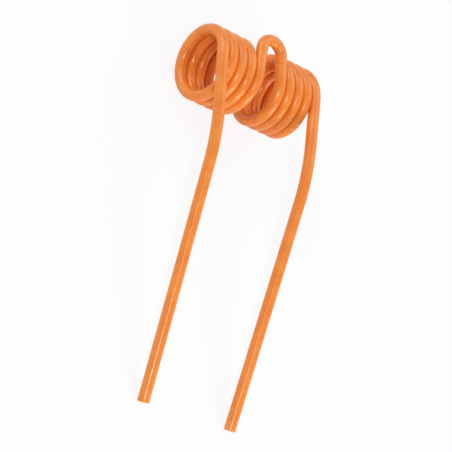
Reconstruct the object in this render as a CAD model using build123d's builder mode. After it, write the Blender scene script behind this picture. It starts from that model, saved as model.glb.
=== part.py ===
from build123d import *
from math import asin, atan2, cos, degrees, hypot, pi, radians, sin, tan
import os

# Pickup tine: a double torsion spring tine, bent cold from one round spring steel wire.
# Each leg runs up into a close-wound coil, and a short loop joins the two coils in the middle.
# The coils' axis is Y and passes through the origin. The legs run towards +X and the loop
# points to -X. It is bent level, and then tilted so that it lies on its coils and leg tips.
# Lengths are in millimetres and angles in degrees.

# Wire
wire_d = 5.5
tip_round = 0.5

# Coils
bore_d = 26.0
turns = 4
turn_gap = 0.35
coil_gap = 8.4

# Loop between the coils
limb_length = 11.2

# Legs
coil_to_set = 2.0
set_r = 30.0
toe_in = 1.35
set_to_bend = 38.0
bend_r = 100.0
bend_angle = 17.0
bend_to_tip = 124.5

# What follows from these sizes
wire_r = wire_d / 2
coil_r = bore_d / 2 + wire_r
coil_outer_r = coil_r + wire_r
pitch = wire_d + turn_gap
lead = atan2(pitch, 2 * pi * coil_r)
inner_y = -(coil_gap + wire_d) / 2
outer_y = inner_y - turns * pitch


def round_corner(corner, heading, next_heading, radius):
    """Put an arc into the path at a corner and return the arc's two ends."""
    reach = radius * tan(radians(heading.get_angle(next_heading)) / 2)
    start = corner - heading * reach
    end = corner + next_heading * reach
    TangentArc(start, end, tangent=heading)
    return start, end


with BuildLine() as left_half:
    # Coil, wound from its outer end, where the leg leaves, to its inner end beside the gap
    coil = Helix(pitch, turns * pitch, coil_r, (0, outer_y, 0), (0, 1, 0), lefthand=True)

    # Leg: it leaves along the coil's lead, is set true close by and bends once, further out
    coil_start = coil @ 0
    off_coil = -(coil % 0)
    leg_heading = Vector(cos(radians(toe_in)), sin(radians(toe_in)), 0)
    tip_heading = leg_heading * cos(radians(bend_angle)) - Vector(0, 0, sin(radians(bend_angle)))
    set_corner = coil_start + off_coil * coil_to_set
    bend_corner = set_corner + leg_heading * set_to_bend
    tip = bend_corner + tip_heading * bend_to_tip
    set_start, set_end = round_corner(set_corner, off_coil, leg_heading, set_r)
    bend_start, bend_end = round_corner(bend_corner, leg_heading, tip_heading, bend_r)
    Line(coil_start, set_start)
    Line(set_end, bend_start)
    Line(bend_end, tip)

    # Loop: a limb runs straight off the coil, and an arc carries it round to the mid plane
    onward = coil % 1
    limb = Line(coil @ 1, (coil @ 1) + onward * limb_length)
    limb_end = limb @ 1
    loop_r = -limb_end.Y / cos(lead)
    rise = Vector(onward.X, 0, onward.Z).normalized() * loop_r * (1 - sin(lead))
    TangentArc(limb_end, limb_end + rise - Vector(0, limb_end.Y, 0), tangent=onward)

with BuildLine() as wire_path:
    add(left_half.line)
    mirror(left_half.line, about=Plane.XZ)

# The wire, swept in one run from tip to tip, with the edges of its cut ends rounded
with BuildPart() as wire:
    with BuildSketch(Plane(origin=tip, z_dir=-tip_heading)):
        Circle(wire_r)
    sweep(path=Wire(wire_path.edges()))
    fillet(wire.faces().filter_by(GeomType.PLANE).edges(), tip_round)

# Resting tilt about the coils' axis: the floor touches the coils and the rounded edge of each tip
side_heading = Vector(tip_heading.X, 0, tip_heading.Z).normalized()
side_down = Vector(side_heading.Z, 0, -side_heading.X)
edge_centre = tip - side_heading * tip_round + side_down * (wire_r - tip_round)
edge_reach = hypot(edge_centre.X, edge_centre.Z)
edge_slope = atan2(edge_centre.Z, edge_centre.X)
rest_tilt = degrees(asin((tip_round - coil_outer_r) / edge_reach) - edge_slope)

with BuildPart() as tine:
    add(wire.part, rotation=(0, -rest_tilt, 0))

tine.part.label = "tine"
os.makedirs("parts", exist_ok=True)
export_step(tine.part, "parts/tine.step")
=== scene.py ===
from math import asin, atan2, ceil, cos, hypot, pi, radians, sin, tan

import bpy
from mathutils import Matrix, Vector

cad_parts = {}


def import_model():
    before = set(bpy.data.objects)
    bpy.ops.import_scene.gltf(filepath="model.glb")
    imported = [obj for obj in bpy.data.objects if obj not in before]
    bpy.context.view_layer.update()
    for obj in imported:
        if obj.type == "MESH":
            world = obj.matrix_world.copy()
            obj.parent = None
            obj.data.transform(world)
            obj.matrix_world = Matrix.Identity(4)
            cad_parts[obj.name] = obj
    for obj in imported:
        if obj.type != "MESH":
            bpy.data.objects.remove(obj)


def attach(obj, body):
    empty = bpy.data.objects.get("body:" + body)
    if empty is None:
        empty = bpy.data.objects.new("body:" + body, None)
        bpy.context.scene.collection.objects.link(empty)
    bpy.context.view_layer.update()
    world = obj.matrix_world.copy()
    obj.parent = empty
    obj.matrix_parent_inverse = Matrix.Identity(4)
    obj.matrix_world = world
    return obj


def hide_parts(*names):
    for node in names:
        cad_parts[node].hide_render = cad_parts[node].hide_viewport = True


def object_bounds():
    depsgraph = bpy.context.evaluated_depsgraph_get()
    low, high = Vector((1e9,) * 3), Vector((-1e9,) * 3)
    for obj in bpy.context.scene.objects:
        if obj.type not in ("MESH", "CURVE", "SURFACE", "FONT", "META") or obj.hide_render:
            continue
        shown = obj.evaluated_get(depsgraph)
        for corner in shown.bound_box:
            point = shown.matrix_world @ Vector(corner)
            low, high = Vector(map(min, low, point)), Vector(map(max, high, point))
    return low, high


# Pickup tine: one powder coated spring steel wire, with two coils, the loop between them and two
# legs. The wire is drawn again here from the CAD model's sizes, with an evenly divided, smooth skin.
# The coils' axis is Y and passes through the origin, midway between the coils. The legs run
# towards +X and the loop points to -X.

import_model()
cad_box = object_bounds()

MM = 0.001

# Sizes of the wire and of its path, the same as the CAD model's
WIRE_D = 5.5 * MM
TIP_ROUND = 0.5 * MM
BORE_D = 26.0 * MM
TURNS = 4
TURN_GAP = 0.35 * MM
COIL_GAP = 8.4 * MM
LIMB_LENGTH = 11.2 * MM
COIL_TO_SET = 2.0 * MM
SET_R = 30.0 * MM
TOE_IN = radians(1.35)
SET_TO_BEND = 38.0 * MM
BEND_R = 100.0 * MM
BEND_ANGLE = radians(17.0)
BEND_TO_TIP = 124.5 * MM

# What follows from these sizes
WIRE_R = WIRE_D / 2
COIL_R = BORE_D / 2 + WIRE_R
PITCH = WIRE_D + TURN_GAP

# How finely the skin is divided
ROUND_STEPS = 48
RINGS_PER_TURN = 80
STRAIGHT_STEP = 4.0 * MM
ARC_STEP = radians(2.0)
TIP_ARC_STEPS = 6
CAP_RINGS = 3
SAME_POINT = 0.01 * MM

# The coat: the two shades it varies between, its gloss and its orange peel. A noise's scale is
# its number of cells in a metre, and the middle of its range is stretched over what it drives.
DEEP_ORANGE = (0.790, 0.206, 0.018, 1)
PALE_ORANGE = (0.855, 0.262, 0.032, 1)
SHADE_NOISE = {"scale": 110, "detail": 4}
GLOSS_NOISE = {"scale": 260, "detail": 3}
PEEL_NOISE = {"scale": 900, "detail": 2}
NOISE_LOW = 0.35
NOISE_HIGH = 0.65
SMOOTHEST = 0.24
ROUGHEST = 0.31
PEEL_STRENGTH = 0.07
PEEL_DEPTH = 0.04 * MM
COAT_IOR = 1.5

# The studio: a pale floor and an even, white surround
WHITE = 1.0
SURROUND_LIGHT = 0.40
GLOSS_SHARE = 0.45  # how much of the white surround the coat's reflections show
FLOOR_HALF = 3.0
FLOOR_COLOUR = (0.85, 0.85, 0.85, 1)
FLOOR_WHITE_SHARE = 0.85  # the rest of what the floor shows is its own colour, with the shadow

# Where the camera stands, as the photograph shows the tine
AIM = Vector((71.359, -1.369, -1.897)) * MM
CAMERA_DISTANCE = 975.86 * MM
CAMERA_AZIMUTH = -62.640
CAMERA_ELEVATION = 44.221
CAMERA_ROLL = 76.158
LENS = 170.008
SENSOR = 36.0
CLIP_START = 0.01
CLIP_END = 100


# The wire's path: each piece of it is a list of points, each with the way the wire runs there

def straight(start, end):
    heading = (end - start).normalized()
    steps = max(1, ceil((end - start).length / STRAIGHT_STEP))
    return [(start.lerp(end, i / steps), heading) for i in range(steps + 1)]


def bend(corner, heading, next_heading, radius):
    angle = heading.angle(next_heading)
    start = corner - heading * radius * tan(angle / 2)
    side = (next_heading - heading * heading.dot(next_heading)).normalized()
    steps = max(2, ceil(angle / ARC_STEP))
    stations = []
    for i in range(steps + 1):
        turned = angle * i / steps
        point = start + heading * radius * sin(turned) + side * radius * (1 - cos(turned))
        stations.append((point, heading * cos(turned) + side * sin(turned)))
    return stations


def coil(outer_y):
    steps = RINGS_PER_TURN * TURNS
    advance = PITCH / (2 * pi)
    stations = []
    for i in range(steps + 1):
        turned = 2 * pi * TURNS * i / steps
        across, up = COIL_R * sin(turned), COIL_R * cos(turned)
        heading = Vector((-up, advance, -across))
        stations.append((Vector((-across, outer_y + advance * turned, up)), heading.normalized()))
    return stations


def reversed_way(stations):
    return [(point, -heading) for point, heading in reversed(stations)]


def left_half():
    """The left half of the path, from the tip of its leg to the middle of the loop."""
    outer_y = -(COIL_GAP / 2 + WIRE_R + TURNS * PITCH)
    turns = coil(outer_y)
    coil_start, coil_heading = turns[0]
    coil_end, onward = turns[-1]

    off_coil = -coil_heading
    leg_heading = Vector((cos(TOE_IN), sin(TOE_IN), 0))
    tip_heading = leg_heading * cos(BEND_ANGLE) - Vector((0, 0, sin(BEND_ANGLE)))
    set_corner = coil_start + off_coil * COIL_TO_SET
    bend_corner = set_corner + leg_heading * SET_TO_BEND
    tip = bend_corner + tip_heading * BEND_TO_TIP
    set_arc = bend(set_corner, off_coil, leg_heading, SET_R)
    bend_arc = bend(bend_corner, leg_heading, tip_heading, BEND_R)
    leg = straight(coil_start, set_arc[0][0]) + set_arc
    leg += straight(set_arc[-1][0], bend_arc[0][0]) + bend_arc
    leg += straight(bend_arc[-1][0], tip)

    limb_end = coil_end + onward * LIMB_LENGTH
    across = Vector((0, 1, 0))
    loop_r = -limb_end.y / hypot(onward.x, onward.z)
    loop_corner = limb_end + onward * loop_r * tan(onward.angle(across) / 2)
    loop = straight(coil_end, limb_end) + bend(loop_corner, onward, across, loop_r)
    return reversed_way(leg) + turns + loop, tip, tip_heading


def without_repeats(stations):
    kept = stations[:1]
    for point, heading in stations[1:]:
        if (point - kept[-1][0]).length > SAME_POINT:
            kept.append((point, heading))
    return kept


def resting_tilt(tip, tip_heading):
    """The angle about the coils' axis at which coils and rounded tip edges touch the floor."""
    side_heading = Vector((tip_heading.x, 0, tip_heading.z)).normalized()
    side_down = Vector((side_heading.z, 0, -side_heading.x))
    edge_centre = tip - side_heading * TIP_ROUND + side_down * (WIRE_R - TIP_ROUND)
    edge_slope = atan2(edge_centre.z, edge_centre.x)
    edge_reach = hypot(edge_centre.x, edge_centre.z)
    return asin((TIP_ROUND - COIL_R - WIRE_R) / edge_reach) - edge_slope


def wire_path():
    """The whole path from tip to tip, as it lies at rest."""
    left, tip, tip_heading = left_half()
    flip = Matrix.Diagonal((1, -1, 1))
    right = [(flip @ point, -(flip @ heading)) for point, heading in reversed(left)]
    turn = Matrix.Rotation(-resting_tilt(tip, tip_heading), 3, "Y")
    return [(turn @ point, turn @ heading) for point, heading in without_repeats(left + right)]


# The skin round the path

def tip_profile():
    """Rings of the rounded tip edge and its flat end: pairs of radius and distance from the end."""
    flat_r = WIRE_R - TIP_ROUND
    rings = []
    for i in range(TIP_ARC_STEPS + 1):
        turned = pi / 2 * i / TIP_ARC_STEPS
        rings.append((flat_r + TIP_ROUND * cos(turned), TIP_ROUND * (1 - sin(turned))))
    return rings + [(flat_r * (1 - i / CAP_RINGS), 0.0) for i in range(1, CAP_RINGS)]


def wire_mesh(name, stations):
    """A closed tube along the stations, whose rings follow the path without twisting."""
    first_point, first_heading = stations[0]
    last_point, last_heading = stations[-1]
    ends = tip_profile()
    rings = [(first_point + first_heading * back, first_heading, r) for r, back in reversed(ends)]
    rings += [(point, heading, WIRE_R) for point, heading in stations[1:-1]]
    rings += [(last_point - last_heading * back, last_heading, r) for r, back in ends]

    side = first_heading.cross(Vector((0, 1, 0))).normalized()
    before = first_heading
    vertices = [first_point]
    for centre, heading, radius in rings:
        side = (before.rotation_difference(heading) @ side).normalized()
        side = (side - heading * heading.dot(side)).normalized()
        up = heading.cross(side)
        before = heading
        for k in range(ROUND_STEPS):
            around = 2 * pi * k / ROUND_STEPS
            vertices.append(centre + (side * cos(around) + up * sin(around)) * radius)
    vertices.append(last_point)

    faces = []
    last_ring = 1 + ROUND_STEPS * (len(rings) - 1)
    for k in range(ROUND_STEPS):
        after = (k + 1) % ROUND_STEPS
        faces.append((0, 1 + after, 1 + k))
        faces.append((len(vertices) - 1, last_ring + k, last_ring + after))
    for ring in range(len(rings) - 1):
        here = 1 + ROUND_STEPS * ring
        there = here + ROUND_STEPS
        for k in range(ROUND_STEPS):
            after = (k + 1) % ROUND_STEPS
            faces.append((here + k, here + after, there + after, there + k))

    mesh = bpy.data.meshes.new(name)
    mesh.from_pydata(vertices, [], faces)
    mesh.validate()
    mesh.shade_smooth()
    return mesh


# Materials

def node(tree, kind, **values):
    made = tree.nodes.new(kind)
    for key, value in values.items():
        setattr(made, key, value)
    return made


def noise(tree, coordinates, scale, detail):
    made = node(tree, "ShaderNodeTexNoise")
    made.inputs["Scale"].default_value = scale
    made.inputs["Detail"].default_value = detail
    tree.links.new(coordinates, made.inputs["Vector"])
    return made.outputs["Fac"]


def spread(tree, value, low, high):
    """Maps the middle of a noise's range to low and high."""
    made = node(tree, "ShaderNodeMapRange")
    made.inputs["From Min"].default_value = NOISE_LOW
    made.inputs["From Max"].default_value = NOISE_HIGH
    made.inputs["To Min"].default_value = low
    made.inputs["To Max"].default_value = high
    tree.links.new(value, made.inputs["Value"])
    return made.outputs["Result"]


def powder_coat():
    """Glossy orange powder coat: slightly uneven in colour and gloss, with a fine orange peel."""
    material = bpy.data.materials.new("orange_powder_coat")
    material.use_nodes = True
    tree = material.node_tree
    shader = tree.nodes["Principled BSDF"]
    place = node(tree, "ShaderNodeTexCoord").outputs["Object"]

    colour = node(tree, "ShaderNodeMix", data_type="RGBA")
    colour.inputs["A"].default_value = DEEP_ORANGE
    colour.inputs["B"].default_value = PALE_ORANGE
    shade = spread(tree, noise(tree, place, **SHADE_NOISE), 0.0, 1.0)
    tree.links.new(shade, colour.inputs["Factor"])
    tree.links.new(colour.outputs["Result"], shader.inputs["Base Color"])

    gloss = spread(tree, noise(tree, place, **GLOSS_NOISE), SMOOTHEST, ROUGHEST)
    tree.links.new(gloss, shader.inputs["Roughness"])

    peel = node(tree, "ShaderNodeBump")
    peel.inputs["Strength"].default_value = PEEL_STRENGTH
    peel.inputs["Distance"].default_value = PEEL_DEPTH
    tree.links.new(noise(tree, place, **PEEL_NOISE), peel.inputs["Height"])
    tree.links.new(peel.outputs["Normal"], shader.inputs["Normal"])

    shader.inputs["IOR"].default_value = COAT_IOR
    return material


def seen_directly(tree):
    """1 for what the camera or a see-through part sees, GLOSS_SHARE for a reflection, else 0."""
    path = node(tree, "ShaderNodeLightPath")
    reflection = node(tree, "ShaderNodeMath", operation="MULTIPLY")
    reflection.inputs[1].default_value = GLOSS_SHARE
    tree.links.new(path.outputs["Is Glossy Ray"], reflection.inputs[0])
    either = node(tree, "ShaderNodeMath", operation="MAXIMUM")
    tree.links.new(path.outputs["Is Camera Ray"], either.inputs[0])
    tree.links.new(reflection.outputs[0], either.inputs[1])
    any_of = node(tree, "ShaderNodeMath", operation="MAXIMUM")
    tree.links.new(either.outputs[0], any_of.inputs[0])
    tree.links.new(path.outputs["Is Transmission Ray"], any_of.inputs[1])
    return any_of.outputs[0]


def floor_material():
    """Pale floor that shows nearly white and keeps a light shadow."""
    material = bpy.data.materials.new("pale_floor")
    material.use_nodes = True
    tree = material.node_tree
    tree.nodes.clear()
    lit = node(tree, "ShaderNodeBsdfDiffuse")
    lit.inputs["Color"].default_value = FLOOR_COLOUR
    white = node(tree, "ShaderNodeEmission")
    white.inputs["Strength"].default_value = WHITE
    share = node(tree, "ShaderNodeMath", operation="MULTIPLY")
    share.inputs[1].default_value = FLOOR_WHITE_SHARE
    tree.links.new(seen_directly(tree), share.inputs[0])
    both = node(tree, "ShaderNodeMixShader")
    tree.links.new(share.outputs[0], both.inputs["Fac"])
    tree.links.new(lit.outputs["BSDF"], both.inputs[1])
    tree.links.new(white.outputs["Emission"], both.inputs[2])
    out = node(tree, "ShaderNodeOutputMaterial")
    tree.links.new(both.outputs["Shader"], out.inputs["Surface"])
    return material


# The studio

def add(name, data):
    made = bpy.data.objects.new(name, data)
    bpy.context.scene.collection.objects.link(made)
    return made


def direction(azimuth, elevation):
    a, e = radians(azimuth), radians(elevation)
    return Vector((cos(a) * cos(e), sin(a) * cos(e), sin(e)))


def floor(height):
    half = FLOOR_HALF
    mesh = bpy.data.meshes.new("floor")
    corners = [(x, y, height) for x, y in ((-half, -half), (half, -half), (half, half), (-half, half))]
    mesh.from_pydata(corners, [], [(0, 1, 2, 3)])
    mesh.materials.append(floor_material())
    made = add("floor", mesh)


def soft_light(name, azimuth, elevation, distance, width, height, power):
    """A soft box with round corners, placed by its direction from the coils and turned to them."""
    data = bpy.data.lights.new(name, "AREA")
    data.shape = "ELLIPSE"
    data.size = width
    data.size_y = height
    data.energy = power
    made = add(name, data)
    outward = direction(azimuth, elevation)
    made.location = outward * distance
    made.rotation_mode = "QUATERNION"
    made.rotation_quaternion = outward.to_track_quat("Z", "Y")
    made.visible_camera = False


def world():
    """Even light all round, seen as a white backdrop."""
    made = bpy.data.worlds.new("studio")
    made.use_nodes = True
    tree = made.node_tree
    back = tree.nodes["Background"]
    back.inputs["Color"].default_value = (1, 1, 1, 1)
    strength = node(tree, "ShaderNodeMapRange")
    strength.inputs["To Min"].default_value = SURROUND_LIGHT
    strength.inputs["To Max"].default_value = WHITE
    tree.links.new(seen_directly(tree), strength.inputs["Value"])
    tree.links.new(strength.outputs["Result"], back.inputs["Strength"])
    bpy.context.scene.world = made


def camera():
    data = bpy.data.cameras.new("camera")
    data.lens = LENS
    data.sensor_width = SENSOR
    data.clip_start = CLIP_START
    data.clip_end = CLIP_END
    made = add("camera", data)
    outward = direction(CAMERA_AZIMUTH, CAMERA_ELEVATION)
    level = outward.to_track_quat("Z", "Y").to_matrix()
    turned = (level @ Matrix.Rotation(radians(CAMERA_ROLL), 3, "Z")).to_quaternion()
    made.matrix_world = Matrix.LocRotScale(AIM + outward * CAMERA_DISTANCE, turned, None)
    bpy.context.scene.camera = made


wire = add("wire", wire_mesh("wire", wire_path()))
wire.data.materials.append(powder_coat())
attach(wire, "root")
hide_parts("tine")

floor(cad_box[0].z)
world()
soft_light("key", azimuth=-54, elevation=51, distance=1.2, width=0.18, height=0.18, power=4.4)
soft_light("side", azimuth=30, elevation=20, distance=1.1, width=0.90, height=0.36, power=6.0)
soft_light("back", azimuth=-134, elevation=19, distance=1.1, width=0.60, height=0.90, power=3.8)
soft_light("top", azimuth=140, elevation=45, distance=1.2, width=1.20, height=1.20, power=4.0)
camera()

bpy.context.scene.view_settings.view_transform = "Standard"
